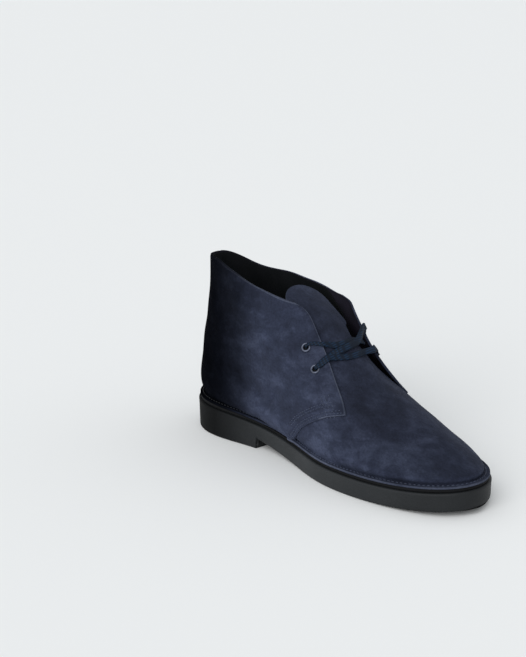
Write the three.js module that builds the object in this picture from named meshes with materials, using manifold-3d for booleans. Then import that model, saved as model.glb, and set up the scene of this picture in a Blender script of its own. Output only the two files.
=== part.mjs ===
// Left chukka boot, two eyelets a side, standing empty on its own sole.
// Millimetres, +Z up. The toe points along +X, the medial side faces -Y and the
// lateral side +Y. The origin is on the floor, at the middle of the sole's length.
import * as THREE from "three";
import { mergeVertices } from "three/addons/utils/BufferGeometryUtils.js";
import Module from "manifold-3d";

// ---------- driving dimensions ----------
const LENGTH = 300;          // outsole, heel back to toe
const HALF = LENGTH / 2;
const GAP = 0.3;             // clearance between neighbouring pieces
const MIDSOLE = 2.2;         // thickness of the black layer under the flange
const FLANGE = 1.8;          // thickness of the upper's turned-out edge
const WALL = 2.2;            // thickness of the upper's wall, lining included
const TONGUE = 2.4;          // thickness of the tongue
const INSOLE = 2.6;          // thickness of the insole
const HEEL_BREAST = -61;     // x of the heel block's front face
const ARCH = 8.2;            // height of the shank's underside at the heel breast
const TOE_SPRING = 4.8;      // height of the sole's underside at the toe
const AROUND = 64;           // points around each ring
const LACE_WIDTH = 5.6;
const LACE_THICK = 1.5;

// ---------- short tables ----------
// Outsole plan, at equal steps of its length from the heel to the toe:
// shift of the middle towards the lateral side, and breadth.
const PLAN_SHIFT = [1.5, 0.2, 0.3, 2.6, 3.0, 2.2, 0.4, -2.0, -5.3, -9.0, -12.8];
const PLAN_BREADTH = [70, 60.5, 49.3, 42.6, 41.2, 46.0, 53.8, 57.8, 59.8, 62.4, 67];
// Height of the outsole's top edge, at equal steps from the heel to the toe.
const SOLE_TOP = [24.0, 22.8, 19.0, 14.6, 13.6, 14.6, 18.6];
// How far the upper's wall stands in from the outsole's edge, heel to toe.
const FEATHER_INSET = [5.5, 6.0, 6.0, 5.0, 6.0, 7.0];
// Rings of the upper's outside, each from its back point to its front point.
// shift, breadth and the two heights are at equal steps from back to front.
const RINGS = [
  { back: -147.0, front: 144.5, shift: [0, 0.5, -12.0], breadth: [66, 46.5, 44, 55, 52],
    medial: [41, 32.5, 27.5, 25, 27.5], lateral: [41, 32.5, 27.5, 25, 27.5] },
  { back: -147.5, front: 130.0, shift: [0, 0.0, -9.5], breadth: [60, 44.5, 43, 49, 39],
    medial: [58, 51, 45, 39, 35], lateral: [58, 51, 44, 37, 35] },
  { back: -145.5, front: 103.0, shift: [0, -0.5, -7.5], breadth: [54, 42, 42, 42, 30],
    medial: [77, 70, 62.5, 54, 46], lateral: [77, 69, 60.5, 51, 46] },
  { back: -141.5, front: 65.0, shift: [0, -1.5, -6.0], breadth: [48, 39, 39.5, 37, 28],
    medial: [96, 91, 83, 72, 60], lateral: [96, 88, 78.5, 68.5, 60] },
  { back: -139.0, front: 26.0, shift: [0, -2.5, -4.0], breadth: [42, 35, 36, 31.5, 30],
    medial: [115, 113, 107.5, 98, 83], lateral: [115, 108, 100.5, 94, 83] },
  { back: -139.0, front: -10.0, shift: [0, -1.5, 0.0], breadth: [34, 32, 34, 34, 50],
    medial: [140, 141.5, 141.5, 139, 135.5, 130, 126, 122.5, 115],
    lateral: [140, 131, 127, 126, 124, 121.5, 119, 117, 115] },
];
// Throat opening in plan, from its toe end back past the collar: x, and how far
// it reaches to each side.
const THROAT = [
  { x: 41, medial: 5, lateral: 5 }, { x: 39, medial: 14, lateral: 13 },
  { x: 36, medial: 22, lateral: 20 }, { x: 31, medial: 28, lateral: 24 },
  { x: 24, medial: 28.4, lateral: 22 }, { x: 17, medial: 26.2, lateral: 20 },
  { x: 10, medial: 24.2, lateral: 19 }, { x: 3, medial: 22.8, lateral: 19.8 },
  { x: -5, medial: 21.6, lateral: 21 }, { x: -13, medial: 20.8, lateral: 22 },
  { x: -18, medial: 22.6, lateral: 24.2 }, { x: -24, medial: 25.5, lateral: 27.5 },
  { x: -40, medial: 25.5, lateral: 27.5 },
];
// The tongue's free end above the throat, which leans to the medial side: its middle,
// half width, and how much lower and further forward its edges sit.
const TONGUE_TOP = [
  { x: -10.5, y: -2.5, z: 110.8, half: 16.5, drop: 7, fore: 3 },
  { x: -25, y: -4, z: 118.6, half: 17, drop: 7.5, fore: 2 },
  { x: -35, y: -4, z: 123.6, half: 16, drop: 6.5, fore: 1.5 },
  { x: -40.5, y: -4, z: 126.2, half: 10.5, drop: 3, fore: 2.5 },
];

// ---------- smooth curves through evenly spaced values ----------
function splineWeights(values) {
  const n = values.length;
  let c = [2 * values[0] - values[1], ...values, 2 * values[n - 1] - values[n - 2]];
  for (let pass = 0; pass < 40; pass++) {
    const d = c.slice();
    for (let i = 1; i <= n; i++) d[i] = (6 * values[i - 1] - c[i - 1] - c[i + 1]) / 4;
    d[0] = 2 * d[1] - d[2];
    d[n + 1] = 2 * d[n] - d[n - 1];
    c = d;
  }
  return c;
}
function splineAt(c, t) {
  const last = c.length - 3;
  const u = Math.min(Math.max(t, 0), last);
  const i = Math.min(Math.floor(u), last - 1);
  const f = u - i;
  const g = 1 - f;
  return (g * g * g * c[i] + (3 * f * f * f - 6 * f * f + 4) * c[i + 1]
    + (-3 * f * f * f + 3 * f * f + 3 * f + 1) * c[i + 2] + f * f * f * c[i + 3]) / 6;
}
const cache = new Map();
function curve(values, share) {
  if (!cache.has(values)) cache.set(values, splineWeights(values));
  return splineAt(cache.get(values), share * (values.length - 1));
}
const bump = (t) => 2 * Math.sqrt(Math.max(0, t * (1 - t)));

// ---------- sole ----------
const soleTop = (x) => curve(SOLE_TOP, (x + HALF) / LENGTH);
const soleBottom = (x) => TOE_SPRING * Math.max(0, (x - 55) / 95) ** 2;
// Place around a ring: 0 at the heel's back, medial side first, 0.5 at the toe.
function around(s) {
  const lap = 2 * (s - Math.floor(s));
  const turn = Math.PI * (lap <= 1 ? lap : 2 - lap);
  return { t: (1 - Math.cos(turn)) / 2, side: lap <= 1 ? -1 : 1 };
}
function planPoint(s) {
  const { t, side } = around(s);
  return new THREE.Vector2(-HALF + LENGTH * t,
    curve(PLAN_SHIFT, t) + side * bump(t) * curve(PLAN_BREADTH, t));
}
function planInset(s, inset) {
  const p = planPoint(s);
  const d = planPoint(s + 0.003).sub(planPoint(s - 0.003)).normalize();
  return new THREE.Vector2(p.x - d.y * inset, p.y + d.x * inset);
}
function planRing(inset, height) {
  return Array.from({ length: AROUND }, (_, j) => {
    const s = j / AROUND;
    const p = planInset(s, typeof inset === "function" ? inset(around(s).t) : inset);
    return new THREE.Vector3(p.x, p.y, height(p.x));
  });
}

// ---------- upper's outside, from the feather line to the collar ----------
const STACK = GAP + MIDSOLE + GAP;       // outsole's top to the flange's underside
const shiftRows = new Map();
function ringPoint(k, s) {
  const { t, side } = around(s);
  if (k === 0) {
    const p = planInset(s, curve(FEATHER_INSET, t));
    return [p.x, p.y, soleTop(p.x) + STACK + FLANGE];
  }
  const ring = RINGS[k - 1];
  if (!shiftRows.has(ring)) {
    const [a, b, c] = ring.shift;
    shiftRows.set(ring, [a, (a + b) / 2, b, 0.6 * b + 0.4 * c, c]);
  }
  return [
    ring.back + (ring.front - ring.back) * t,
    curve(shiftRows.get(ring), t) + side * bump(t) * curve(ring.breadth, t),
    curve(side < 0 ? ring.medial : ring.lateral, t),
  ];
}
const ROWS = RINGS.length;               // v runs from 0 to this
function form(s, v) {
  const rings = Array.from({ length: ROWS + 1 }, (_, k) => ringPoint(k, s));
  return new THREE.Vector3(...[0, 1, 2].map(
    (a) => splineAt(splineWeights(rings.map((r) => r[a])), v)));
}
function outwards(s, v) {
  const e = 0.004;
  const across = form(s + e, v).sub(form(s - e, v));
  const up = form(s, Math.min(v + 0.03, ROWS)).sub(form(s, Math.max(v - 0.03, 0)));
  return new THREE.Vector3().crossVectors(across, up).normalize();
}
// A point off the form; depth is measured inwards.
const under = (s, v, depth) => form(s, v).addScaledVector(outwards(s, v), -depth);
// The quarters' loose front edges stand off the tongue, the lateral one further.
const ease = (a, b, x) => {
  const f = Math.min(1, Math.max(0, (x - a) / (b - a)));
  return f * f * (3 - 2 * f);
};
const GAPE = { medial: 1.0, lateral: 5.0 };
function gape(s, v) {
  const lap = s - Math.floor(s);
  const amount = lap < 0.5 ? GAPE.medial : GAPE.lateral;
  return amount * ease(0.27, 0.12, Math.abs(lap - 0.5)) * ease(3.0, 5.4, v);
}
const wall = (s, v, depth) => under(s, v, depth - gape(s, v));
function facing(s, v) {
  const across = wall(s + 0.006, v, 0).sub(wall(s - 0.006, v, 0));
  const up = wall(s, v + 0.08, 0).sub(wall(s, v - 0.08, 0));
  return across.cross(up).normalize();
}

// ---------- closed meshes ----------
function geometryOf(points, faces) {
  const g = new THREE.BufferGeometry();
  const flat = new Float32Array(points.flatMap((p) => [p.x, p.y, p.z]));
  g.setAttribute("position", new THREE.BufferAttribute(flat, 3));
  g.setIndex(faces.flat());
  return g;
}
// Signed volume decides which way the faces look.
function facingOut(points, faces) {
  let volume = 0;
  for (const [a, b, c] of faces) {
    volume += points[a].dot(new THREE.Vector3().crossVectors(points[b], points[c]));
  }
  return volume < 0 ? faces.map(([a, b, c]) => [a, c, b]) : faces;
}
function quads(faces, at, i0, i1, count, wrap) {
  for (let j = 0; j < (wrap ? count : count - 1); j++) {
    const k = (j + 1) % count;
    faces.push([at(i0, j), at(i0, k), at(i1, k)], [at(i0, j), at(i1, k), at(i1, j)]);
  }
}
// Rings of equal count joined one to the next. closed joins the last ring to the
// first; otherwise each end is zipped shut between its two mirrored halves.
function ringSolid(rings, closed = false) {
  const n = rings[0].length;
  const points = rings.flat();
  const at = (i, j) => i * n + j;
  const faces = [];
  for (let i = 0; i + 1 < rings.length; i++) quads(faces, at, i, i + 1, n, true);
  if (closed) quads(faces, at, rings.length - 1, 0, n, true);
  else {
    for (const [i, flip] of [[0, true], [rings.length - 1, false]]) {
      for (let j = 0; j < n / 2; j++) {
        const quad = [at(i, j), at(i, j + 1), at(i, (n - j - 1) % n), at(i, (n - j) % n)];
        if (flip) quad.reverse();
        for (const f of [[quad[0], quad[1], quad[2]], [quad[0], quad[2], quad[3]]]) {
          if (new Set(f).size === 3) faces.push(f);
        }
      }
    }
  }
  return geometryOf(points, facingOut(points, faces));
}
// Sections of equal count in a row, with a fan over each end.
function loft(sections) {
  const n = sections[0].length;
  const points = sections.flat();
  const at = (i, j) => i * n + j;
  const faces = [];
  for (let i = 0; i + 1 < sections.length; i++) quads(faces, at, i, i + 1, n, true);
  const last = sections.length - 1;
  for (let j = 1; j + 1 < n; j++) {
    faces.push([at(0, 0), at(0, j + 1), at(0, j)], [at(last, 0), at(last, j), at(last, j + 1)]);
  }
  return geometryOf(points, facingOut(points, faces));
}
// A sheet of equal rows, given by its two faces.
function sheetSolid(front, back) {
  const rows = front.length;
  const n = front[0].length;
  const points = [...front.flat(), ...back.flat()];
  const f = (i, j) => i * n + j;
  const b = (i, j) => rows * n + i * n + j;
  const faces = [];
  const quad = (p, q, r, s) => faces.push([p, q, r], [p, r, s]);
  for (let i = 0; i + 1 < rows; i++) {
    for (let j = 0; j + 1 < n; j++) {
      quad(f(i, j), f(i, j + 1), f(i + 1, j + 1), f(i + 1, j));
      quad(b(i, j), b(i + 1, j), b(i + 1, j + 1), b(i, j + 1));
    }
    quad(f(i, 0), f(i + 1, 0), b(i + 1, 0), b(i, 0));
    quad(f(i, n - 1), b(i, n - 1), b(i + 1, n - 1), f(i + 1, n - 1));
  }
  for (let j = 0; j + 1 < n; j++) {
    quad(f(0, j), b(0, j), b(0, j + 1), f(0, j + 1));
    quad(f(rows - 1, j), f(rows - 1, j + 1), b(rows - 1, j + 1), b(rows - 1, j));
  }
  return geometryOf(points, facingOut(points, faces));
}

// ---------- booleans ----------
const wasm = await Module();
wasm.setup();
function solid(geometry) {
  const g = geometry.index ? geometry.clone() : mergeVertices(geometry);
  g.deleteAttribute("normal");
  g.deleteAttribute("uv");
  const merged = mergeVertices(g, 1e-5);
  return new wasm.Manifold(new wasm.Mesh({
    numProp: 3,
    vertProperties: new Float32Array(merged.attributes.position.array),
    triVerts: new Uint32Array(merged.index.array),
  }));
}
function geometryFrom(manifold) {
  const mesh = manifold.getMesh();
  const g = new THREE.BufferGeometry();
  g.setAttribute("position", new THREE.BufferAttribute(new Float32Array(mesh.vertProperties), 3));
  g.setIndex(Array.from(mesh.triVerts));
  return g;
}

// ---------- outsole: one moulded unit with its heel block ----------
function outsole() {
  const body = ringSolid([
    planRing(2.2, soleBottom),
    planRing(1.0, (x) => soleBottom(x) + 1.0),
    planRing(0.3, (x) => soleBottom(x) * 0.3 + soleTop(x) * 0.7),
    planRing(0, (x) => soleTop(x) - 1.2),
    planRing(1.0, soleTop),
  ]);
  // The shank's hollow: from the heel breast forward, running out under the ball.
  const run = 62;
  const sections = [];
  for (let j = 0; j <= 8; j++) {
    const y = -60 + 15 * j;
    const breast = HEEL_BREAST - 0.06 * y + 3.0 * Math.cos(Math.PI * Math.min(1, Math.abs(y) / 60) / 2);
    const section = [new THREE.Vector3(breast, y, -5)];
    for (let i = 0; i <= 8; i++) {
      const x = breast + (i / 8) * (run + HEEL_BREAST - breast);
      section.push(new THREE.Vector3(x, y, ARCH * (1 - i / 8) ** 1.5));
    }
    section.push(new THREE.Vector3(run + HEEL_BREAST + 4, y, -5));
    sections.push(section);
  }
  return geometryFrom(solid(body).subtract(solid(loft(sections))));
}

// ---------- upper: hollow, open at the collar and underneath ----------
const EYELET_HOLE = 2.5;
const V_STEPS = [0.22, 0.55, 1, 1.5, 2, 2.5, 3, 3.5, 4, 4.5, 5, 5.5, 6];
function upper() {
  const row = (v, depth) => Array.from({ length: AROUND }, (_, j) => wall(j / AROUND, v, depth));
  const flangeEdge = 1.2;
  const base = (x) => soleTop(x) + STACK;
  const top = (x) => soleTop(x) + STACK + FLANGE;
  const inset = (more) => (t) => curve(FEATHER_INSET, t) + more;
  const rings = [
    planRing(flangeEdge, base),
    planRing(flangeEdge, top),
    planRing(inset(-1.2), top),
    ...V_STEPS.map((v) => row(v, 0)),
    ...V_STEPS.slice().reverse().map((v) => row(v, WALL)),
    planRing(inset(WALL), base),
  ];
  const shell = solid(ringSolid(rings, true));
  const outline = [
    ...THROAT.map((p) => [p.x, -p.medial]),
    ...THROAT.slice().reverse().map((p) => [p.x, p.lateral]),
  ];
  const throat = loft([40, 150].map((z) => outline.map(([x, y]) => new THREE.Vector3(x, y, z))));
  let cut = shell.subtract(solid(throat));
  for (const place of EYELETS) {
    const hole = new THREE.CylinderGeometry(EYELET_HOLE, EYELET_HOLE, 12, 16);
    hole.applyMatrix4(eyeletMatrix(place));
    cut = cut.subtract(solid(hole));
  }
  return geometryFrom(cut);
}

// ---------- eyelets ----------
// Place on the upper: s around, v up.
const EYELETS = [
  { name: "eyelet_medial_upper", s: 0.344, v: 4.79 },
  { name: "eyelet_medial_lower", s: 0.339, v: 4.26 },
  { name: "eyelet_lateral_upper", s: 0.656, v: 4.79 },
  { name: "eyelet_lateral_lower", s: 0.661, v: 4.26 },
];
// Y of the eyelet's own frame runs out of the leather.
function eyeletMatrix({ s, v }) {
  const out = facing(s, v);
  const turn = new THREE.Quaternion().setFromUnitVectors(new THREE.Vector3(0, 1, 0), out);
  return new THREE.Matrix4().compose(wall(s, v, 0), turn, new THREE.Vector3(1, 1, 1));
}
function eyelet(place) {
  const profile = [
    [1.5, -WALL], [2.1, -WALL], [2.1, 0.5], [3.9, 0.5], [3.9, 0.8],
    [3.0, 1.1], [2.0, 1.0], [1.5, 0.5], [1.5, -WALL],
  ].map(([r, y]) => new THREE.Vector2(r, y));
  const g = new THREE.LatheGeometry(profile, 24);
  g.applyMatrix4(eyeletMatrix(place));
  return g;
}

// ---------- tongue ----------
const TONGUE_DEPTH = WALL + 0.5;         // from the form to the tongue's outer face
const TONGUE_LOW = [
  { v: 3.3, spread: 0.085 }, { v: 3.9, spread: 0.105 }, { v: 4.5, spread: 0.115 }, { v: 5.1, spread: 0.115 },
  { v: 5.55, spread: 0.104 },
];
function tongueRows() {
  const low = TONGUE_LOW.map(({ v, spread }) => (a) => under(0.5 + spread * a, v, TONGUE_DEPTH));
  const top = TONGUE_TOP.map((r) => (a) => new THREE.Vector3(
    r.x + r.fore * a * a, r.y + r.half * a, r.z - r.drop * a * a));
  return [...low, ...top];
}
// a runs across from -1 to 1, w up the tongue from 0 to 1.
function tongueFace(a, w) {
  const column = tongueRows().map((row) => row(a).toArray());
  return new THREE.Vector3(...[0, 1, 2].map(
    (k) => splineAt(splineWeights(column.map((p) => p[k])), w * (column.length - 1))));
}
function tongue() {
  const grid = (depth) => Array.from({ length: 15 }, (_, i) => Array.from({ length: 13 }, (_, j) => {
    const w = i / 14;
    const a = j / 6 - 1;
    const p = tongueFace(a, w);
    const across = tongueFace(a + 0.02, w).sub(tongueFace(a - 0.02, w));
    const up = tongueFace(a, Math.min(1, w + 0.01)).sub(tongueFace(a, Math.max(0, w - 0.01)));
    return p.addScaledVector(across.cross(up).normalize(), -depth);
  }));
  return sheetSolid(grid(0), grid(TONGUE));
}

// ---------- laces ----------
// A flat lace's middle line: place on the upper, and its lift off the quarter's
// outside ("quarter") or off the form, above the tongue ("tongue").
const ON_TONGUE = -TONGUE_DEPTH + GAP + LACE_THICK / 2 + 0.1;
const ON_QUARTER = GAP + LACE_THICK / 2 + 0.25;
const LOWER_BAR = [
  { s: 0.354, v: 4.45, on: "quarter", lift: ON_QUARTER },
  { s: 0.362, v: 4.54, on: "quarter", lift: ON_QUARTER },
  { s: 0.371, v: 4.64, on: "quarter", lift: ON_QUARTER },
  { s: 0.380, v: 4.72, on: "quarter", lift: ON_QUARTER + 0.4 },
  { s: 0.397, v: 4.85, on: "tongue", lift: ON_QUARTER - 0.9 },
  { s: 0.418, v: 4.96, on: "tongue", lift: ON_TONGUE + 0.5 },
  { s: 0.448, v: 5.08, on: "tongue", lift: ON_TONGUE },
  { s: 0.480, v: 5.16, on: "tongue", lift: ON_TONGUE },
  { s: 0.520, v: 5.16, on: "tongue", lift: ON_TONGUE },
  { s: 0.552, v: 5.08, on: "tongue", lift: ON_TONGUE + 0.2 },
  { s: 0.582, v: 4.94, on: "tongue", lift: ON_TONGUE + 1.4 },
  { s: 0.600, v: 4.84, on: "tongue", lift: ON_QUARTER + 1.8 },
  { s: 0.616, v: 4.74, on: "quarter", lift: ON_QUARTER + 0.4 },
  { s: 0.628, v: 4.63, on: "quarter", lift: ON_QUARTER },
  { s: 0.638, v: 4.53, on: "quarter", lift: ON_QUARTER },
  { s: 0.647, v: 4.44, on: "quarter", lift: ON_QUARTER },
];
const FROM_MEDIAL = [
  { s: 0.361, v: 4.95, on: "quarter", lift: ON_QUARTER },
  { s: 0.370, v: 5.01, on: "quarter", lift: ON_QUARTER },
  { s: 0.380, v: 5.05, on: "quarter", lift: ON_QUARTER },
  { s: 0.390, v: 5.08, on: "quarter", lift: ON_QUARTER + 0.4 },
  { s: 0.408, v: 5.13, on: "tongue", lift: ON_QUARTER - 0.9 },
  { s: 0.430, v: 5.20, on: "tongue", lift: ON_TONGUE + 0.4 },
  { s: 0.460, v: 5.29, on: "tongue", lift: ON_TONGUE },
  { s: 0.500, v: 5.35, on: "tongue", lift: ON_TONGUE },
  { s: 0.540, v: 5.31, on: "tongue", lift: ON_TONGUE },
  { s: 0.575, v: 5.16, on: "tongue", lift: ON_TONGUE },
];
const FROM_LATERAL = [
  { s: 0.639, v: 4.95, on: "quarter", lift: ON_QUARTER },
  { s: 0.629, v: 5.02, on: "quarter", lift: ON_QUARTER },
  { s: 0.618, v: 5.06, on: "quarter", lift: ON_QUARTER },
  { s: 0.607, v: 5.09, on: "quarter", lift: ON_QUARTER + 0.8 },
  { s: 0.591, v: 5.15, on: "tongue", lift: ON_QUARTER + 2.0 },
  { s: 0.568, v: 5.23, on: "tongue", lift: ON_TONGUE + 1.6 },
  { s: 0.540, v: 5.31, on: "tongue", lift: ON_TONGUE + 0.2 },
  { s: 0.500, v: 5.35, on: "tongue", lift: ON_TONGUE },
  { s: 0.460, v: 5.28, on: "tongue", lift: ON_TONGUE },
  { s: 0.430, v: 5.16, on: "tongue", lift: ON_TONGUE },
  { s: 0.414, v: 5.08, on: "tongue", lift: ON_TONGUE },
];
function lace(rows) {
  const outs = rows.map(({ s, v, on }) => (on === "quarter" ? facing(s, v) : outwards(s, v)));
  const line = new THREE.CatmullRomCurve3(rows.map(({ s, v, on, lift }, i) => (
    on === "quarter" ? wall(s, v, 0) : form(s, v)).addScaledVector(outs[i], lift)));
  const half = LACE_WIDTH / 2;
  const edge = LACE_THICK / 2;
  const corners = [
    [-half, -edge * 0.4], [-half + 0.5, -edge], [half - 0.5, -edge], [half, -edge * 0.4],
    [half, edge * 0.4], [half - 0.5, edge], [-half + 0.5, edge], [-half, edge * 0.4],
  ];
  const steps = 3 * (rows.length - 1);
  const sections = Array.from({ length: steps + 1 }, (_, i) => {
    const middle = line.getPoint(i / steps);
    const along = line.getTangent(i / steps);
    const k = Math.min(Math.floor(i / 3), rows.length - 2);
    const out = outs[k].clone().lerp(outs[k + 1], i / 3 - k);
    const side = new THREE.Vector3().crossVectors(along, out).normalize();
    const face = new THREE.Vector3().crossVectors(side, along).normalize();
    return corners.map(([x, y]) => (
      middle.clone().addScaledVector(side, x).addScaledVector(face, y)));
  });
  return loft(sections);
}
const crossing = () => geometryFrom(solid(lace(FROM_MEDIAL)).add(solid(lace(FROM_LATERAL))));

// ---------- midsole and insole ----------
const midsole = () => ringSolid([
  planRing(1.4, (x) => soleTop(x) + GAP),
  planRing(1.4, (x) => soleTop(x) + GAP + MIDSOLE),
]);
const insole = () => ringSolid([
  planRing((t) => curve(FEATHER_INSET, t) + WALL + 0.8, (x) => soleTop(x) + STACK),
  planRing((t) => curve(FEATHER_INSET, t) + WALL + 0.8, (x) => soleTop(x) + STACK + INSOLE),
]);

// ---------- scene graph ----------
const RUBBER = new THREE.MeshStandardMaterial({ color: "#34373c", roughness: 0.62, metalness: 0 });
const BLACK = new THREE.MeshStandardMaterial({ color: "#1b1c20", roughness: 0.7, metalness: 0 });
const SUEDE = new THREE.MeshStandardMaterial({ color: "#41485c", roughness: 0.95, metalness: 0 });
const METAL = new THREE.MeshStandardMaterial({ color: "#3d414a", roughness: 0.4, metalness: 1 });
const LACE = new THREE.MeshStandardMaterial({ color: "#2a3a4a", roughness: 0.9, metalness: 0 });
const LINING = new THREE.MeshStandardMaterial({ color: "#1d1e22", roughness: 0.85, metalness: 0 });

const group = new THREE.Group();
function add(name, geometry, material) {
  const mesh = new THREE.Mesh(geometry, material);
  mesh.name = name;
  group.add(mesh);
}
add("outsole", outsole(), RUBBER);
add("midsole", midsole(), BLACK);
add("upper", upper(), SUEDE);
add("tongue", tongue(), SUEDE);
add("insole", insole(), LINING);
add("lace_bar_lower", lace(LOWER_BAR), LACE);
add("lace_cross_upper", crossing(), LACE);
for (const place of EYELETS) add(place.name, eyelet(place), METAL);

export default group;
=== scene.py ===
"""A left chukka boot in navy suede with two eyelets a side, standing empty on its sole.

Lengths in the tables are millimetres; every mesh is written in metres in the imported
model's frame: +X to the toe, -Y to the medial side, +Z up, the floor at z = 0.
"""
import math

import bpy
import numpy as np
from mathutils import Matrix, Vector


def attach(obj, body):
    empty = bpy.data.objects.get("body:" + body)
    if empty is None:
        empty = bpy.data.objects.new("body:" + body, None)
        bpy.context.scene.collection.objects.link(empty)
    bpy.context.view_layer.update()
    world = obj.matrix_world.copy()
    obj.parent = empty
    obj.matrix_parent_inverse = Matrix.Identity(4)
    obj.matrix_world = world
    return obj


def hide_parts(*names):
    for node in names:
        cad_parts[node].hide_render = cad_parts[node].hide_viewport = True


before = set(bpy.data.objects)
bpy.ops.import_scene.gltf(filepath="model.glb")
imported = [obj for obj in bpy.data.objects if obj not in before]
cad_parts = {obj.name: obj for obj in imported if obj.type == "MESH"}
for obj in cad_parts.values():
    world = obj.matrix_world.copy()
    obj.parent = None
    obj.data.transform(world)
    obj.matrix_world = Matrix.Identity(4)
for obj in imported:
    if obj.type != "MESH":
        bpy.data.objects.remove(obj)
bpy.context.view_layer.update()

# ---------------------------------------------------------------- sizes, in mm
LENGTH = 300.0            # outsole, heel back to toe
GAP = 0.3                 # clearance between stacked layers
MIDSOLE = 2.2             # black layer under the turned-out edge
FLANGE = 1.8              # the upper's turned-out edge
STACK = GAP + MIDSOLE + GAP
SUEDE = 1.5               # thickness of one layer of suede
HEEL_BREAST = -61.0       # x of the heel block's front face
ARCH = 8.2                # height of the shank's underside at the breast
TOE_SPRING = 4.8          # lift of the tread at the toe
WAIST_END = 62.0          # length of the hollow waist, forward of the breast
WAIST_STEP = 0.4          # the crinkled forepart stands this proud of the waist

# Outsole from heel to toe: shift of its middle to the lateral side, half breadth before
# bow() rounds the ends, height of its top, and how far in from its edge the upper stands.
PLAN_SHIFT = [1.5, 0.2, 0.3, 2.6, 3.0, 2.2, 0.4, -2.0, -5.3, -9.0, -12.8]
PLAN_BREADTH = [70, 60.5, 49.3, 42.6, 41.2, 46.0, 53.8, 57.8, 59.8, 62.4, 67]
SOLE_TOP = [24.0, 22.8, 19.0, 14.6, 13.6, 14.6, 18.6]
FEATHER_INSET = [5.5, 6.0, 6.0, 5.0, 6.0, 7.0]
# Rings of the last from the sole up, each with values from its back to its front point.
RINGS = [
    dict(back=-147.0, front=144.5, shift=(0, 0.5, -12.0), breadth=(66, 46.5, 44, 55, 52),
         medial=(41, 32.5, 27.5, 25, 27.5), lateral=(41, 32.5, 27.5, 25, 27.5)),
    dict(back=-147.5, front=130.0, shift=(0, 0.0, -9.5), breadth=(60, 44.5, 43, 49, 39),
         medial=(58, 51, 45, 39, 35), lateral=(58, 51, 44, 37, 35)),
    dict(back=-145.5, front=103.0, shift=(0, -0.5, -7.5), breadth=(54, 42, 42, 42, 30),
         medial=(77, 70, 62.5, 54, 46), lateral=(77, 69, 60.5, 51, 46)),
    dict(back=-141.5, front=65.0, shift=(0, -1.5, -6.0), breadth=(48, 39, 39.5, 37, 28),
         medial=(96, 91, 83, 72, 60), lateral=(96, 88, 78.5, 68.5, 60)),
    dict(back=-139.0, front=26.0, shift=(0, -2.5, -4.0), breadth=(42, 35, 36, 31.5, 30),
         medial=(115, 113, 107.5, 98, 83), lateral=(115, 108, 100.5, 94, 83)),
    dict(back=-139.0, front=-10.0, shift=(0, -1.5, 0.0), breadth=(34, 32, 34, 34, 50),
         medial=(140, 141.5, 141.5, 139, 135.5, 130, 126, 122.5, 115),
         lateral=(140, 131, 127, 126, 124, 121.5, 119, 117, 115)),
]
ROWS = len(RINGS)
GAPE = {"medial": 1.0, "lateral": 5.0}   # how far the quarters' front edges stand off
# The quarter's front edge, from the sole up its curved seam and up the eyestay:
# height v on the last, and place s round it.
QUARTER_EDGE = [
    (-1.0, 0.236), (0.0, 0.238), (0.6, 0.244), (1.1, 0.2525), (1.4, 0.259), (1.66, 0.2675),
    (1.92, 0.278), (2.14, 0.288), (2.35, 0.2985), (2.53, 0.308), (2.66, 0.317), (2.77, 0.3255),
    (2.86, 0.333), (2.93, 0.339), (3.0, 0.3405), (3.24, 0.3455), (3.67, 0.3555), (4.12, 0.3655),
    (4.48, 0.3745), (4.82, 0.3845), (5.05, 0.392), (5.23, 0.399), (5.48, 0.4095), (5.68, 0.4175),
    (5.80, 0.4205), (5.88, 0.4195), (5.94, 0.415), (6.0, 0.403),
]
# The tongue's free end, which leans to the medial side: its middle, half width, and how
# far its edges drop and come forward.
TONGUE_TOP = [
    dict(x=-10.5, y=-4.8, z=111.2, half=17.7, drop=7.4, fore=3),
    dict(x=-25, y=-5, z=119.4, half=19.2, drop=6.6, fore=2),
    dict(x=-35, y=-4.6, z=124.2, half=20, drop=5.6, fore=1.5),
    dict(x=-43.5, y=-4.6, z=127.8, half=20, drop=5, fore=1.5),
]
EYELETS = {
    "medial_upper": (0.344, 4.79), "medial_lower": (0.339, 4.26),
    "lateral_upper": (0.656, 4.79), "lateral_lower": (0.661, 4.26),
}


# ---------------------------------------------------------------- smooth curves
def spline(values, place):
    """A smooth curve through evenly spaced rows; place runs from 0 to the last row."""
    rows = np.asarray(values, float)
    last = len(rows) - 1
    weights = np.concatenate([[2 * rows[0] - rows[1]], rows, [2 * rows[-1] - rows[-2]]])
    for _ in range(40):
        weights[1:-1] = (6 * rows - weights[:-2] - weights[2:]) / 4
        weights[0] = 2 * weights[1] - weights[2]
        weights[-1] = 2 * weights[-2] - weights[-3]
    place = np.clip(np.asarray(place, float), 0, last)
    i = np.minimum(place.astype(int), last - 1)
    f = place - i
    column = ()
    if rows.ndim > 1 and rows.shape[1:2] == place.shape:
        column = (np.arange(place.size),)
        f = f[:, None]
    a, b, c, d = (weights[(i + k, *column)] for k in range(4))
    return ((1 - f) ** 3 * a + (3 * f ** 3 - 6 * f ** 2 + 4) * b
            + (-3 * f ** 3 + 3 * f ** 2 + 3 * f + 1) * c + f ** 3 * d) / 6


def along(values, share):
    """The curve's value at a share, 0 to 1, of its length."""
    return spline(values, np.asarray(share) * (len(values) - 1))


def ease(start, end, value):
    """A soft step: 0 before start, 1 past end; start may be the larger."""
    f = np.clip((np.asarray(value, float) - start) / (end - start), 0, 1)
    return f * f * (3 - 2 * f)


def unit(vectors):
    return vectors / np.maximum(np.linalg.norm(vectors, axis=-1, keepdims=True), 1e-9)


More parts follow.
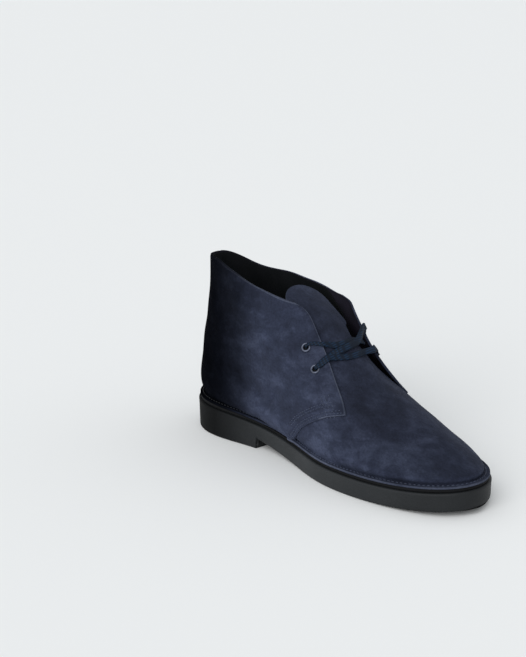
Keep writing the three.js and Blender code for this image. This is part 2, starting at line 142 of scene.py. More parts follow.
# ---------------------------------------------------------------- the last
def around(s):
    """Share of the length and side (-1 medial, 1 lateral) at place s round the boot."""
    lap = 2 * (s - np.floor(s))
    turn = np.pi * np.where(lap <= 1, lap, 2 - lap)
    return (1 - np.cos(turn)) / 2, np.where(lap <= 1, -1.0, 1.0)


def bow(t):
    """Share of the full breadth at share t of the length, as on a circle."""
    return 2 * np.sqrt(np.clip(t * (1 - t), 0, None))


def plan(s, inset=0.0):
    """The sole's outline at place s, moved inwards by inset."""
    def edge(s):
        t, side = around(s)
        y = along(PLAN_SHIFT, t) + side * bow(t) * along(PLAN_BREADTH, t)
        return np.stack([LENGTH * (t - 0.5), y], -1)

    heading = unit(edge(s + 0.003) - edge(s - 0.003))
    return edge(s) + np.stack([-heading[..., 1], heading[..., 0]], -1) * np.asarray(inset)[..., None]


def sole_top(x):
    return along(SOLE_TOP, (x + LENGTH / 2) / LENGTH)


def ring_points(s):
    """Every ring's point at place s, the feather line first: rows of x, y, z."""
    t, side = around(s)
    feather = plan(s, along(FEATHER_INSET, t))
    z = sole_top(feather[:, 0]) + STACK + FLANGE
    rows = [np.column_stack([feather, z])]
    for ring in RINGS:
        a, b, c = ring["shift"]
        shift = along((a, (a + b) / 2, b, 0.6 * b + 0.4 * c, c), t)
        x = ring["back"] + (ring["front"] - ring["back"]) * t
        y = shift + side * bow(t) * along(ring["breadth"], t)
        z = np.where(side < 0, along(ring["medial"], t), along(ring["lateral"], t))
        rows.append(np.column_stack([x, y, z]))
    return np.stack(rows)


def last_surface(s, v):
    """The outside of the last. s runs round from the heel's back by the medial side to
    the toe at 0.5 and back; v runs up from the feather line at 0 to the collar at 6.
    Below 0 the surface turns out flat over the sole, as far as its edge at -1."""
    s, v = np.broadcast_arrays(np.asarray(s, float), np.asarray(v, float))
    shape = s.shape
    s, v = s.ravel(), v.ravel()
    rows = ring_points(s)

    def wall(v):
        return spline(rows, np.clip(v, 0, ROWS))

    def turned_out(v):
        t, _ = around(s)
        full = along(FEATHER_INSET, t)
        p = plan(s, full + np.clip(v, -1, 0) * (full - 1.2))
        return np.column_stack([p, sole_top(p[:, 0]) + STACK + FLANGE])

    points = np.where((v < 0)[:, None], turned_out(v), wall(v))
    # The bend where the wall turns out is a soft curve.
    low, high = -0.42, 0.16
    f = np.clip((v - low) / (high - low), 0, 1)[:, None]
    bend = ((1 - f) ** 2 * turned_out(np.full_like(v, low)) + 2 * f * (1 - f) * rows[0]
            + f ** 2 * wall(np.full_like(v, high)))
    points = np.where(((v > low) & (v < high))[:, None], bend, points)
    return points.reshape(*shape, 3)


def outwards(surface, s, v):
    """Unit normals of a surface of s and v, pointing out of the boot."""
    s, v = np.broadcast_arrays(np.asarray(s, float), np.asarray(v, float))
    across = surface(s + 0.003, v) - surface(s - 0.003, v)
    up = surface(s, np.minimum(v + 0.04, ROWS)) - surface(s, np.minimum(v + 0.04, ROWS) - 0.08)
    return unit(np.cross(across, up))


def gape(s, v):
    """How far a quarter stands off the tongue near its front edge."""
    amount = np.where(s < 0.5, GAPE["medial"], GAPE["lateral"])
    return amount * ease(0.27, 0.12, np.abs(s - 0.5)) * ease(3.0, 5.4, v)


def off_last(s, v, height):
    """The point at that height off the last."""
    return last_surface(s, v) + outwards(last_surface, s, v) * np.asarray(height)[..., None]


# ---------------------------------------------------------------- meshes
def piece(name, points, faces, materials, face_material=None, body="root"):
    """A mesh object from points in mm, riding on the boot."""
    mesh = bpy.data.meshes.new(name)
    mesh.from_pydata((np.asarray(points) * 0.001).tolist(), [], faces)
    for material in materials:
        mesh.materials.append(material)
    if face_material is not None:
        mesh.polygons.foreach_set("material_index", face_material)
    mesh.polygons.foreach_set("use_smooth", [True] * len(mesh.polygons))
    mesh.update()
    obj = bpy.data.objects.new(name, mesh)
    bpy.context.scene.collection.objects.link(obj)
    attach(obj, body)
    return obj


def grid_faces(rows, columns, start=0, closed=False, flip=False):
    """Four-sided faces between a grid's points; closed joins each row's two ends."""
    faces = []
    for i in range(rows - 1):
        for j in range(columns if closed else columns - 1):
            k = (j + 1) % columns
            face = (start + i * columns + j, start + i * columns + k,
                    start + (i + 1) * columns + k, start + (i + 1) * columns + j)
            faces.append(face[::-1] if flip else face)
    return faces


def border(rows, columns):
    """Indices round a grid's edge, in order."""
    return ([j for j in range(columns)]
            + [i * columns + columns - 1 for i in range(1, rows)]
            + [(rows - 1) * columns + j for j in range(columns - 2, -1, -1)]
            + [i * columns for i in range(rows - 2, 0, -1)])


def panel(name, outer, inner, materials):
    """A closed sheet between two grids; its cut edge takes the second material."""
    rows, columns = outer.shape[:2]
    count = rows * columns
    faces = grid_faces(rows, columns) + grid_faces(rows, columns, count, flip=True)
    edge = border(rows, columns)
    cut = [(b, a, a + count, b + count) for a, b in zip(edge, edge[1:] + edge[:1])]
    marks = [0] * len(faces) + [1] * len(cut)
    points = np.concatenate([outer.reshape(-1, 3), inner.reshape(-1, 3)])
    return piece(name, points, faces + cut, materials, marks)


def ribbon(path, outs, half, thick):
    """Points of a flat band swept along path, flat side facing outs, half the given
    breadth to each side of it."""
    heading = unit(np.gradient(path, axis=0))
    side = unit(np.cross(heading, outs))
    face = unit(np.cross(side, heading))
    profile = np.array([(-1, -0.4), (-0.86, -1), (0, -1.08), (0.86, -1), (1, -0.4),
                        (1, 0.4), (0.86, 1), (0, 1.08), (-0.86, 1), (-1, 0.4)])
    return (path[:, None] + side[:, None] * (profile[None, :, :1] * half[:, None, None])
            + face[:, None] * (profile[None, :, 1:] * thick / 2))


def tube_faces(rows, columns):
    """Faces of a swept closed section, with both ends filled."""
    caps = [tuple(range(columns))[::-1],
            tuple((rows - 1) * columns + j for j in range(columns))]
    return grid_faces(rows, columns, closed=True) + caps


# ---------------------------------------------------------------- materials
def linear(hex_colour):
    """An sRGB hex colour as linear red, green, blue and alpha."""
    parts = [int(hex_colour[i:i + 2], 16) / 255 for i in (1, 3, 5)]
    return tuple(p / 12.92 if p <= 0.04045 else ((p + 0.055) / 1.055) ** 2.4 for p in parts) + (1.0,)


def add(tree, kind, inputs, stops=(), out=0, **settings):
    """Adds a node with its settings, values, links and colour stops; gives one output."""
    node = tree.nodes.new(kind)
    for key, value in settings.items():
        setattr(node, key, value)
    for key, value in inputs.items():
        if isinstance(value, bpy.types.NodeSocket):
            tree.links.new(value, node.inputs[key])
        else:
            node.inputs[key].default_value = value
    for i, (at, colour) in enumerate(stops):
        stop = node.color_ramp.elements[i] if i < 2 else node.color_ramp.elements.new(at)
        stop.position = at
        stop.color = linear(colour)
    return node.outputs[out]


def finish(name, **values):
    """A material called name, with plain values set on its shader's own sockets."""
    material = bpy.data.materials.new(name)
    material.use_nodes = True
    tree = material.node_tree
    shader = tree.nodes["Principled BSDF"]
    for key, value in values.items():
        shader.inputs[key.replace("_", " ")].default_value = value
    return material, tree, shader.inputs, add(tree, "ShaderNodeTexCoord", {}, out="Object")


def painted_heel_shade(tree, place):
    """A painted shade, dark at the heel and white at the middle, that stands in for shade
    falling on the heel. It reaches further forward on the inner side."""
    forward = add(tree, "ShaderNodeVectorMath", {0: place, 1: (1.0, 0.8, 0.0)}, out="Value",
                  operation="DOT_PRODUCT")
    heel = add(tree, "ShaderNodeMapRange", {"Value": forward, "From Min": -0.150, "From Max": 0.050})
    return add(tree, "ShaderNodeValToRGB", {"Fac": heel},
               [(0.0, "#343434"), (1.0, "#e6e6e6"), (0.12, "#525252"), (0.24, "#929292"),
                (0.37, "#ffffff"), (0.62, "#ffffff")])


def brushed_suede(name, dark, middle, light):
    """Split calf leather, its flesh side buffed to a short nap. It is matt; the nap lies
    one way or another in brushed strokes and patches, which look greyer or darker. Faces
    that point up are darkened by a painted shade, and a painted shade darkens the colour,
    the specular level and the sheen round the heel. The tufts' tips give the outline
    a weak sheen."""
    material, tree, shader, place = finish(name, Roughness=0.92, Sheen_Roughness=0.5)
    shader["Sheen Tint"].default_value = linear("#7a86ad")
    slanted = add(tree, "ShaderNodeMapping", {"Vector": place, "Rotation": (0, 0.5, 0.3),
                                              "Scale": (0.75, 1, 1.25)})
    patches = add(tree, "ShaderNodeTexNoise", {"Vector": slanted, "Scale": 1000 / 34, "Detail": 4.0,
                                               "Roughness": 0.55, "Distortion": 0.6})
    strokes = add(tree, "ShaderNodeTexNoise", {"Vector": slanted, "Scale": 1000 / 8, "Detail": 4.0,
                                               "Roughness": 0.6, "Distortion": 0.3})
    # The nap's tufts are tenths of a millimetre wide; they are drawn at 1.6 mm to show.
    nap = add(tree, "ShaderNodeTexNoise", {"Vector": place, "Scale": 1000 / 1.6, "Detail": 3.0,
                                           "Roughness": 0.7})
    lie = add(tree, "ShaderNodeMix", {0: 0.35, 2: patches, 3: strokes})
    tone = add(tree, "ShaderNodeValToRGB", {"Fac": lie},
               [(0.37, dark), (0.63, light), (0.5, middle)])
    grain = add(tree, "ShaderNodeValToRGB", {"Fac": nap}, [(0.3, "#cfcfcf"), (0.7, "#ffffff")])
    # Painted shade: the colour is darker on faces that point up.
    facing = add(tree, "ShaderNodeTexCoord", {}, out="Normal")
    upward = add(tree, "ShaderNodeSeparateXYZ", {0: facing}, out=2)
    level = add(tree, "ShaderNodeValToRGB", {"Fac": upward}, [(0.15, "#ffffff"), (0.8, "#dadada")])
    # Painted shade: darker towards the heel, further forward on the inner side.
    heel_darkening = painted_heel_shade(tree, place)
    colour = tone
    for shade in (grain, level, heel_darkening):
        colour = add(tree, "ShaderNodeMix", {0: 1.0, 6: colour, 7: shade}, out=2, data_type="RGBA",
                     blend_type="MULTIPLY")
    tree.links.new(colour, shader["Base Color"])
    # The painted heel shade lowers the specular level and the sheen there too.
    for socket, most in (("Specular IOR Level", 0.18), ("Sheen Weight", 0.1)):
        heel_dimmed = add(tree, "ShaderNodeMath", {0: heel_darkening, 1: most}, operation="MULTIPLY")
        tree.links.new(heel_dimmed, shader[socket])
    fine = add(tree, "ShaderNodeBump", {"Strength": 0.4, "Distance": 0.0005, "Height": nap})
    soft = add(tree, "ShaderNodeBump", {"Strength": 0.3, "Distance": 0.002, "Height": strokes,
                                        "Normal": fine})
    tree.links.new(soft, shader["Normal"])
    return material


def moulded_rubber():
    """Rubber compound from a sand-blasted mould: charcoal, dull, and stippled all over.
    A painted shade darkens its colour and specular level towards the heel and, less, the toe."""
    material, tree, shader, place = finish("moulded_rubber", Roughness=0.6, IOR=1.52)
    cloud = add(tree, "ShaderNodeTexNoise", {"Vector": place, "Scale": 1000 / 35, "Detail": 3.0})
    # The mould's grit is about 0.3 mm; it is drawn at 0.9 mm to show.
    grit = add(tree, "ShaderNodeTexNoise", {"Vector": place, "Scale": 1000 / 0.9, "Detail": 2.0,
                                            "Roughness": 0.6})
    tone = add(tree, "ShaderNodeValToRGB", {"Fac": cloud}, [(0.3, "#202326"), (0.7, "#292c2f")])
    spots = add(tree, "ShaderNodeValToRGB", {"Fac": grit}, [(0.3, "#dcdcdc"), (0.7, "#ffffff")])
    back_and_fore = add(tree, "ShaderNodeSeparateXYZ", {0: place})
    reach = add(tree, "ShaderNodeMapRange", {"Value": back_and_fore, "From Min": -0.150,
                                             "From Max": 0.150})
    # Painted shade: darker at the heel and, less, towards the toe; lightest in the middle.
    painted_end_shade = add(tree, "ShaderNodeValToRGB", {"Fac": reach},
                [(0.0, "#464646"), (1.0, "#cccccc"), (0.16, "#747474"), (0.36, "#f4f4f4"),
                 (0.5, "#ffffff")])
    colour = tone
    for shade in (spots, painted_end_shade):
        colour = add(tree, "ShaderNodeMix", {0: 1.0, 6: colour, 7: shade}, out=2, data_type="RGBA",
                     blend_type="MULTIPLY")
    tree.links.new(colour, shader["Base Color"])
    # The specular level follows the painted shade too.
    shine = add(tree, "ShaderNodeMath", {0: painted_end_shade, 1: 0.35}, operation="MULTIPLY")
    tree.links.new(shine, shader["Specular IOR Level"])
    # Underneath, the heel and forepart are crinkled like crepe; the waist is left smooth.
    crinkle = add(tree, "ShaderNodeTexNoise", {"Vector": place, "Scale": 1000 / 3.2, "Detail": 3.0,
                                               "Roughness": 0.6, "Distortion": 1.6})
    facing = add(tree, "ShaderNodeTexCoord", {}, out="Normal")
    upward = add(tree, "ShaderNodeSeparateXYZ", {0: facing}, out=2)
    down = add(tree, "ShaderNodeMapRange", {"Value": upward, "From Min": -0.6, "From Max": -0.9})
    ends = add(tree, "ShaderNodeValToRGB", {"Fac": reach},
               [(0.296, "#ffffff"), (0.503, "#ffffff"), (0.298, "#000000"), (0.499, "#000000")])
    tread = add(tree, "ShaderNodeMath", {0: down, 1: ends}, operation="MULTIPLY")
    ridges = add(tree, "ShaderNodeMath", {0: crinkle, 1: tread}, operation="MULTIPLY")
    crepe = add(tree, "ShaderNodeBump", {"Strength": 0.9, "Distance": 0.0012, "Height": ridges})
    stipple = add(tree, "ShaderNodeBump", {"Strength": 0.35, "Distance": 0.0004, "Height": grit,
                                           "Normal": crepe})
    tree.links.new(stipple, shader["Normal"])
    return material


def dyed_leather(name, dark, light, roughness):
    """Vegetable-tanned leather dyed through: nearly black, dull, with a faint pored grain."""
    material, tree, shader, place = finish(name, Roughness=roughness, Specular_IOR_Level=0.14)
    stain = add(tree, "ShaderNodeTexNoise", {"Vector": place, "Scale": 1000 / 18, "Detail": 3.0})
    pores = add(tree, "ShaderNodeTexNoise", {"Vector": place, "Scale": 1000 / 1.2, "Detail": 3.0})
    tone = add(tree, "ShaderNodeValToRGB", {"Fac": stain}, [(0.35, dark), (0.7, light)])
    tree.links.new(tone, shader["Base Color"])
    grain = add(tree, "ShaderNodeBump", {"Strength": 0.3, "Distance": 0.0004, "Height": pores})
    tree.links.new(grain, shader["Normal"])
    return material


def enamelled_brass():
    """Brass eyelet rolled over and stoved with slate-blue enamel: a soft, worn gloss."""
    material, tree, shader, place = finish("enamelled_brass", Metallic=0.3, Roughness=0.36,
                                           Coat_Weight=0.3, Coat_Roughness=0.25)
    wear = add(tree, "ShaderNodeTexNoise", {"Vector": place, "Scale": 1000 / 1.6, "Detail": 2.0})
    tone = add(tree, "ShaderNodeValToRGB", {"Fac": wear}, [(0.4, "#333949"), (0.7, "#4d5468")])
    tree.links.new(tone, shader["Base Color"])
    return material


def braided_cotton():
    """Flat waxed cotton lace, braided from fine yarns: teal-navy, with the wax's soft gloss."""
    material, tree, shader, place = finish("braided_cotton", Roughness=0.65, Specular_IOR_Level=0.16)
    # The braid's yarns are 0.4 mm wide; they are drawn at 0.9 mm to show.
    crossing = []
    for turn in (0.7, -0.7):
        turned = add(tree, "ShaderNodeMapping", {"Vector": place, "Rotation": (turn, turn, 0.4)})
        crossing.append(add(tree, "ShaderNodeTexWave", {"Vector": turned, "Scale": 1000 / 0.9 / 6.3,
                                                        "Distortion": 1.2, "Detail": 1.0}, out="Fac"))
    yarns = add(tree, "ShaderNodeMath", {0: crossing[0], 1: crossing[1]}, operation="MULTIPLY")
    tone = add(tree, "ShaderNodeValToRGB", {"Fac": yarns}, [(0.1, "#081321"), (0.7, "#11253b")])
    tree.links.new(tone, shader["Base Color"])
    braid = add(tree, "ShaderNodeBump", {"Strength": 0.35, "Distance": 0.0003, "Height": yarns})
    tree.links.new(braid, shader["Normal"])
    return material


def bonded_thread():
    """Bonded polyester thread dyed to match the suede; its smooth coating has a slight shine."""
    material, tree, shader, place = finish("bonded_thread", Roughness=0.55, Specular_IOR_Level=0.4)
    twist = add(tree, "ShaderNodeTexNoise", {"Vector": place, "Scale": 1000 / 0.8, "Detail": 1.0})
    tone = add(tree, "ShaderNodeValToRGB", {"Fac": twist}, [(0.3, "#262d40"), (0.7, "#3d455c")])
    # Painted shade: the same darkening towards the heel as on the suede.
    colour = add(tree, "ShaderNodeMix", {0: 1.0, 6: tone, 7: painted_heel_shade(tree, place)}, out=2,
                 data_type="RGBA", blend_type="MULTIPLY")
    tree.links.new(colour, shader["Base Color"])
    return material


flesh = dyed_leather("suede_flesh_side", "#13121a", "#1d1a26", 0.92)
suede = brushed_suede("brushed_suede", "#212636", "#2d3346", "#42495f")
# The paler suede is the cut edges' own colour, and is also laid on faces beside the edges as a
# painted highlight.
edge_and_highlight_suede = brushed_suede("cut_edge_and_highlight_suede", "#3c4254", "#484e60", "#575d70")
# The lining's own near-black is deepened further as a painted shade for the inside of the boot.
lining = dyed_leather("dyed_lining_and_painted_shade", "#05080a", "#0c0d11", 0.85)
board = dyed_leather("dyed_midsole_leather", "#08090b", "#0d0e11", 0.7)
insock = dyed_leather("black_insock_leather", "#0a0a0c", "#101114", 0.75)
rubber = moulded_rubber()
enamel = enamelled_brass()
cotton = braided_cotton()
thread = bonded_thread()


# ---------------------------------------------------------------- camera and light
def mm(x, y, z):
    """A place given in millimetres, in metres."""
    return Vector((x, y, z)) * 0.001


def make_camera():
    """The camera stands 1.2 m off, ahead of the boot and on its medial side."""
    azimuth, elevation, roll = math.radians(48.53), math.radians(14.91), math.radians(-0.66)
    back = Vector((math.sin(azimuth) * math.cos(elevation),
                   -math.cos(azimuth) * math.cos(elevation), math.sin(elevation)))
    right = Vector((0, 0, 1)).cross(back).normalized()
    up = back.cross(right)
    turned_right = right * math.cos(roll) + up * math.sin(roll)
    turned_up = up * math.cos(roll) - right * math.sin(roll)
    camera = bpy.data.cameras.new("camera")
    camera.sensor_width = 36.0
    camera.lens = 82.88
    obj = bpy.data.objects.new("camera", camera)
    bpy.context.scene.collection.objects.link(obj)
    obj.matrix_world = (Matrix.Translation(mm(-86.9, 0, 84.5) + back * 1.2)
                        @ Matrix((turned_right, turned_up, back)).transposed().to_4x4())
    bpy.context.scene.camera = obj


def make_studio():
    """A pale paper floor under an even white sky, and one broad soft key from the front
    left, at the camera's side."""
    world = bpy.data.worlds.new("studio")
    world.use_nodes = True
    world.node_tree.nodes["Background"].inputs["Color"].default_value = linear("#f6f9fb")
    world.node_tree.nodes["Background"].inputs["Strength"].default_value = 0.73
    bpy.context.scene.world = world
    bpy.context.scene.view_settings.view_transform = "Standard"
    light = bpy.data.lights.new("key", "SUN")
    light.energy = 2.0
    light.angle = math.radians(60)
    key = bpy.data.objects.new("key", light)
    key.location = (0.42, -1.0, 0.6)
    key.rotation_euler = (-key.location).to_track_quat("-Z", "Y").to_euler()
    bpy.context.scene.collection.objects.link(key)
    # Matt paper: an even, pale ground that takes soft shadows.
    paper, _, shader, _ = finish("studio_paper", Roughness=0.9, Specular_IOR_Level=0.1)
    shader["Base Color"].default_value = linear("#eceded")
    mesh = bpy.data.meshes.new("floor")
    mesh.from_pydata([(-30, -30, 0), (30, -30, 0), (30, 30, 0), (-30, 30, 0)], [], [(0, 1, 2, 3)])
    mesh.materials.append(paper)
    floor = bpy.data.objects.new("floor", mesh)
    bpy.context.scene.collection.objects.link(floor)


make_camera()
make_studio()


# ---------------------------------------------------------------- quarters
EDGE_V, EDGE_S = (np.array(column) for column in zip(*QUARTER_EDGE))
SEAM_TOP = 2.93       # height of the front corner, where the seam turns up the eyestay
LAP = 1.65            # the quarter's outside stands this far off where it laps the vamp
FLAT_SEAM_ROWS = 62   # rows of the quarter's mesh below the painted highlight beside its medial front edge
LINED = 138           # columns of it, from the back, that have a lining behind


def edge_place(v, side="medial"):
    """Place s of the quarter's front edge at height v, its corners slightly eased. The
    lateral quarter's top corner has spread further and looks rounder, and its front corner
    lies a little further back."""
    v = np.asarray(v, float)
    reach = 0.02 + 0.06 * ease(3.0, 3.3, v) * ease(5.9, 5.5, v)
    s = np.mean([np.interp(v + reach * k, EDGE_V, EDGE_S) for k in np.linspace(-1, 1, 7)], axis=0)
    if side == "lateral":
        s = s - 0.024 * ease(5.2, 5.85, v) - 0.012 * ease(5.85, 6.0, v)
        s = s - 0.014 * ease(0.6, 2.2, v) * ease(4.2, 3.2, v)
    return s


def mirrored(s, side):
    """A medial place s, or its match on the lateral side."""
    return s if side == "medial" else 1 - s


def edge_line(side):
    """Points down the last along the quarter's front edge, and their heights."""
    v = np.linspace(-1, 6, 500)
    s = mirrored(edge_place(v, side), side)
    return last_surface(s, v), v


def nearest(points, line):
    """Distance of each point from a line of points, and the line's nearest index."""
    flat = points.reshape(-1, 3)
    best = np.empty(len(flat))
    index = np.empty(len(flat), int)
    batch = 4000
    for start in range(0, len(flat), batch):
        some = slice(start, start + batch)
        gaps = ((flat[some][:, None] - line[None]) ** 2).sum(-1)
        index[some] = gaps.argmin(1)
        best[some] = np.sqrt(gaps.min(1))
    return best.reshape(points.shape[:-1]), index.reshape(points.shape[:-1])


# Rows along the curved seam: distance from the edge, how deep the thread pulls the suede
# in, and samples left out at the row's start and end.
SEAM_ROWS = ((1.7, 0.4, 4, 2), (3.7, 0.4, 4, 5), (7.8, 0.25, 34, 14), (9.8, 0.25, 34, 17))


def dip(distance, at, width=0.75):
    """A soft bump 1 high at a distance from a line, for grooves and ridges along it."""
    return np.exp(-((distance - at) / width) ** 2)


def worn_waves(points):
    """Slow unevenness of soft leather that has come off its last, about 0.3 mm high."""
    x, y, z = np.moveaxis(points, -1, 0)
    return (0.22 * np.sin(x / 11 + z / 15 + 1.3) * np.sin(z / 9 - y / 21)
            + 0.16 * np.sin(x / 6.1 - z / 7.7 + y / 13) + 0.1 * np.sin(x / 3.3 + z / 4.9 + 2))


def waist_creases(points):
    """Short slanting creases low on the quarter, where the upper pulls in at the waist."""
    x, _, z = np.moveaxis(points, -1, 0)
    total = 0
    for x0, z0, lean, length, deep in ((-58, 40, 0.5, 16, 0.7), (-45, 36, 0.75, 15, 0.6),
                                       (-72, 47, 0.35, 18, 0.5), (-34, 44, 0.95, 13, 0.45),
                                       (-86, 57, 0.2, 20, 0.4)):
        run = (x - x0) * math.cos(lean) + (z - z0) * math.sin(lean)
        aside = -(x - x0) * math.sin(lean) + (z - z0) * math.cos(lean)
        total = total + deep * np.exp(-(run / length) ** 2) * (
            np.exp(-((aside - 2.6) / 2.4) ** 2) - np.exp(-((aside + 1.2) / 1.9) ** 2))
    return total


def quarter_height(s, v, side):
    """Height of the quarter's outside off the last: it laps over the vamp in front,
    stands off the tongue, and dips along its seams and under its eyelets."""
    line, line_v = edge_line(side)
    base = last_surface(s, v)
    away, index = nearest(base, line)
    lap = LAP - 0.85 * ease(0.5, -0.5, v)
    height = gape(s, v) + lap * ease(42, 16, away)
    seam = ease(SEAM_TOP + 0.25, SEAM_TOP - 0.05, line_v[index]) * ease(-0.3, 0.3, v)
    height -= seam * sum(deep * dip(away, distance) for distance, deep, _, _ in SEAM_ROWS)
    height += seam * (0.25 * dip(away, 2.7, 0.6) + 0.35 * dip(away, 5.6, 1.2))
    height -= 0.5 * ease(1.2, 0.0, away) + 0.35 * ease(1.2, 0.0, (ROWS - v) * 20)
    height -= 0.8 * np.exp(-(base[..., 1] / 1.0) ** 2) * (base[..., 0] < -100) * ease(-0.2, 0.6, v)
    loose = ease(-0.2, 0.8, v) * ease(4, 14, away)
    height += loose * (worn_waves(base) + waist_creases(base))
    for name, (s0, v0) in EYELETS.items():
        if name.startswith(side):
            centre = last_surface(np.array([s0]), np.array([v0]))[0]
            height -= 1.3 * ease(3.4, 2.3, np.linalg.norm(base - centre, axis=-1))
    return height


def quarter(side):
    """A quarter and its lining skin, from the back seam to the front edge."""
    v = np.concatenate([np.linspace(-1, 0.45, 24), np.linspace(0.5, 2.4, 42),
                        np.linspace(2.43, 3.05, 26), np.linspace(3.1, 5.5, 56),
                        np.linspace(5.53, 6, 22)])
    across = np.concatenate([np.linspace(0, 0.03, 11)[:-1],
                             0.03 + 0.97 * (1 - np.linspace(1, 0, 176) ** 1.25)])
    s = mirrored(across[None, :] * edge_place(v, side)[:, None], side)
    v = np.broadcast_to(v[:, None], s.shape)
    normal = outwards(last_surface, s, v)
    height = quarter_height(s, v, side)
    base = last_surface(s, v)
    layers = [base + normal * (height - depth)[..., None]
              for depth in (0, SUEDE, SUEDE + 0.06, SUEDE + 0.8)]
    if side == "lateral":
        layers = [layer[:, ::-1] for layer in layers]
    outer, inner, face, back = layers
    made = panel(f"quarter_{side}", outer, inner, [suede, edge_and_highlight_suede, flesh])
    # The collar's cut edge and the last millimetre of the face beside it take the paler suede:
    # the cut edge's own colour, and a painted highlight on the face. So does the medial quarter's
    # front, a painted highlight; the lateral one keeps the plain suede.
    rows, columns = outer.shape[:2]
    faces = (rows - 1) * (columns - 1)
    i, j = np.divmod(np.arange(faces), columns - 1)
    # Painted highlight: pale strips on the face along the collar and the medial front edge.
    worn = i >= rows - 3
    if side == "medial":
        worn |= (j >= columns - 4) & (i > FLAT_SEAM_ROWS)
    marks = np.ones(len(made.data.polygons), int)
    marks[:faces] = np.where(worn, 1, 0)
    marks[faces:2 * faces] = 2
    marks[2 * faces:2 * faces + columns - 1] = 0
    if side == "lateral":
        marks[-(rows - 2):] = 0
    made.data.polygons.foreach_set("material_index", marks.tolist())
    # The lining stops short of the front, where the suede's flesh side shows.
    reach = slice(0, LINED) if side == "medial" else slice(columns - LINED, None)
    skin = panel(f"lining_{side}", face[20:-2, reach], back[20:-2, reach], [lining, lining])
    return made, skin


# ---------------------------------------------------------------- vamp and tongue
def through(rows, steps, first=0):
    """Rows of points joined by smooth curves, with steps to each span."""
    rows = np.asarray(rows, float)
    middle = rows.shape[1] // 2
    gaps = np.sqrt(np.linalg.norm(np.diff(rows[:, middle], axis=0), axis=1))
    knots = np.concatenate([[0], np.cumsum(gaps)])
    slopes = np.gradient(rows, knots, axis=0)
    out = []
    for i in range(first, len(rows) - 1):
        width = knots[i + 1] - knots[i]
        for f in np.linspace(0, 1, steps, endpoint=False):
            out.append((2 * f ** 3 - 3 * f ** 2 + 1) * rows[i]
                       + (f ** 3 - 2 * f ** 2 + f) * width * slopes[i]
                       + (-2 * f ** 3 + 3 * f ** 2) * rows[i + 1]
                       + (f ** 3 - f ** 2) * width * slopes[i + 1])
    out.append(rows[-1])
    return np.array(out)


TONGUE_SINK = 1.6         # the tongue lies this far under the last's line in the throat
TONGUE_THICK = 1.6
THROAT_ROWS = 140         # rows of the vamp's mesh up to the tongue's free end


def vamp_grid():
    """The vamp runs under the quarters and on up the throat as the tongue."""
    across = np.linspace(-1, 1, 181)
    v = np.concatenate([np.linspace(-1, 0.45, 24), np.linspace(0.5, 5.5, 116)])
    half = 0.5 - edge_place(v) + 0.024 * ease(-1.2, 0.6, v) + 0.004
    half = half[:, None] * (1 - 0.16 * ease(4.6, 5.5, v)[:, None]
                            - 0.14 * (across > 0) * ease(4.7, 5.5, v)[:, None])
    s = 0.5 + across[None, :] * half
    v = np.broadcast_to(v[:, None], s.shape)
    lip = np.abs(across)[None, :]
    under = ease(0.003, -0.005, np.abs(s - 0.5) - (0.5 - edge_place(v)))
    height = -0.05 - TONGUE_SINK * ease(3.1, 4.5, v) - 0.5 * ease(0.8, 1.0, lip) * ease(3.6, 4.6, v)
    height = height - 3.2 * ease(0.1, 1.0, across[None, :]) * ease(4.7, 5.5, v)
    height = height - 0.85 * (1 - under) * ease(0.5, -0.5, v)
    loose = ease(0.2, 1.2, v) * ease(5.6, 4.6, v) * under
    height = height + loose * 0.6 * worn_waves(last_surface(s, v))
    low = off_last(s, v, height)
    top = [np.stack([row["x"] + row["fore"] * across ** 2, row["y"] + row["half"] * across,
                     row["z"] - row["drop"] * across ** 2], -1) for row in TONGUE_TOP]
    free = through([low[-8], low[-1], *top], 14, first=1)
    # Its end is rounded: each row is drawn in to a full, blunt curve.
    w = np.sin(np.linspace(0, 1, len(free)) * np.pi / 2) ** 0.8
    free = np.stack([[np.interp(w * (len(free) - 1), np.arange(len(free)), free[:, j, k])
                      for k in range(3)] for j in range(len(across))]).transpose(2, 0, 1)
    full = np.clip(1 - np.clip((w - 0.42) / 0.58, 0, 1) ** 2.6, 0.0004, 1) ** (1 / 2.6)
    rounded = [[np.interp(across * full[i], across, free[i, :, k]) for k in range(3)]
               for i in range(len(free))]
    return np.concatenate([low[:-1], np.array(rounded).transpose(0, 2, 1)])


def vamp():
    """The vamp and tongue, with a painted highlight on its end and the edges of the throat."""
    outer = vamp_grid()
    facing = unit(np.cross(np.gradient(outer, axis=1), np.gradient(outer, axis=0)))
    inner = outer - facing * TONGUE_THICK
    made = panel("vamp_and_tongue", outer, inner, [suede, edge_and_highlight_suede, flesh])
    rows, columns = outer.shape[:2]
    faces = (rows - 1) * (columns - 1)
    i, j = np.divmod(np.arange(faces), columns - 1)
    marks = np.zeros(len(made.data.polygons), int)
    # Painted highlight: pale strips on the tongue's end and along the throat's edges.
    beside = (j < 2) | (j > columns - 4)
    marks[:faces] = np.where((i >= rows - 5) | ((i > THROAT_ROWS) & beside), 1, 0)
    marks[faces:2 * faces] = 2
    marks[2 * faces:] = 1
    made.data.polygons.foreach_set("material_index", marks.tolist())
    return made


